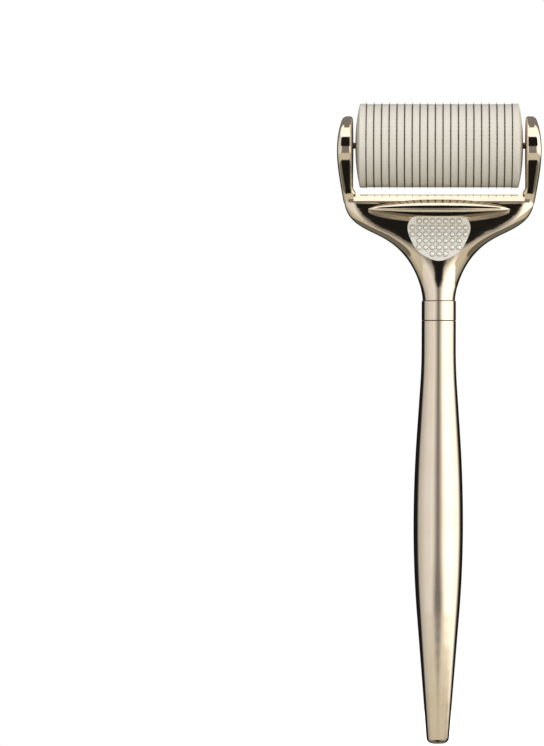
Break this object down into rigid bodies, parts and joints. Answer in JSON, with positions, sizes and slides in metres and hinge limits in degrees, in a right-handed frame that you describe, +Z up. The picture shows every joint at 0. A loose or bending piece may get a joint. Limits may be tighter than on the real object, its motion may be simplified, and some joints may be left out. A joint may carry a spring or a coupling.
{
  "type": "derma roller",
  "caption": "Hand-held derma roller: a drum of needle discs that rolls in a metal fork on a long tapered metal handle.",
  "frame": {"origin": "on the handle's axis, at the height where the grip is thickest", "axes": "+Z up the handle to the fork, X along the drum's axle, the thumb pad faces -Y"},
  "size_m": [0.0532, 0.0228, 0.1678],
  "materials": {
    "plated_handle": "polished champagne-gold plating",
    "plated_collar": "polished champagne-gold plating",
    "plated_fork": "polished champagne-gold plating",
    "pad_satin": "satin champagne-gold plating",
    "insert_brass": "as turned",
    "stud_steel": "as rolled",
    "axle_steel": "dark satin",
    "needle_steel": "etched sheet, satin",
    "drum_cream": "satin moulded, cream",
    "core_plastic": "moulded",
    "bush_plastic": "moulded acetal"
  },
  "bodies": {
    "root": {"handle": "plated_handle", "handle_insert": "insert_brass", "neck_stud": "stud_steel", "neck_collar": "plated_collar", "fork_head": "plated_fork", "thumb_pad": "pad_satin", "axle_rod": "axle_steel", "axle_cap_right": "plated_fork", "axle_cap_left": "plated_fork"},
    "drum": {"drum_core": "core_plastic", "drum_bush_right": "bush_plastic", "drum_bush_left": "bush_plastic", "needle_disc_01": "needle_steel", "needle_disc_02": "needle_steel", "needle_disc_03": "needle_steel", "needle_disc_04": "needle_steel", "needle_disc_05": "needle_steel", "needle_disc_06": "needle_steel", "needle_disc_07": "needle_steel", "needle_disc_08": "needle_steel", "needle_disc_09": "needle_steel", "needle_disc_10": "needle_steel", "needle_disc_11": "needle_steel", "needle_disc_12": "needle_steel", "needle_disc_13": "needle_steel", "needle_disc_14": "needle_steel", "needle_disc_15": "needle_steel", "needle_disc_16": "needle_steel", "needle_disc_17": "needle_steel", "needle_disc_18": "needle_steel", "needle_disc_19": "needle_steel", "needle_disc_20": "needle_steel", "spacer_01": "drum_cream", "spacer_02": "drum_cream", "spacer_03": "drum_cream", "spacer_04": "drum_cream", "spacer_05": "drum_cream", "spacer_06": "drum_cream", "spacer_07": "drum_cream", "spacer_08": "drum_cream", "spacer_09": "drum_cream", "spacer_10": "drum_cream", "spacer_11": "drum_cream", "spacer_12": "drum_cream", "spacer_13": "drum_cream", "spacer_14": "drum_cream", "spacer_15": "drum_cream", "spacer_16": "drum_cream", "spacer_17": "drum_cream", "spacer_18": "drum_cream", "spacer_19": "drum_cream", "end_cap_right": "drum_cream", "end_cap_left": "drum_cream"}
  },
  "joints": [
    {"name": "drum_spin", "type": "hinge", "parent": "root", "child": "drum", "pos_m": [0, 0, 0.0994], "axis": [1, 0, 0], "continuous": true}
  ]
}
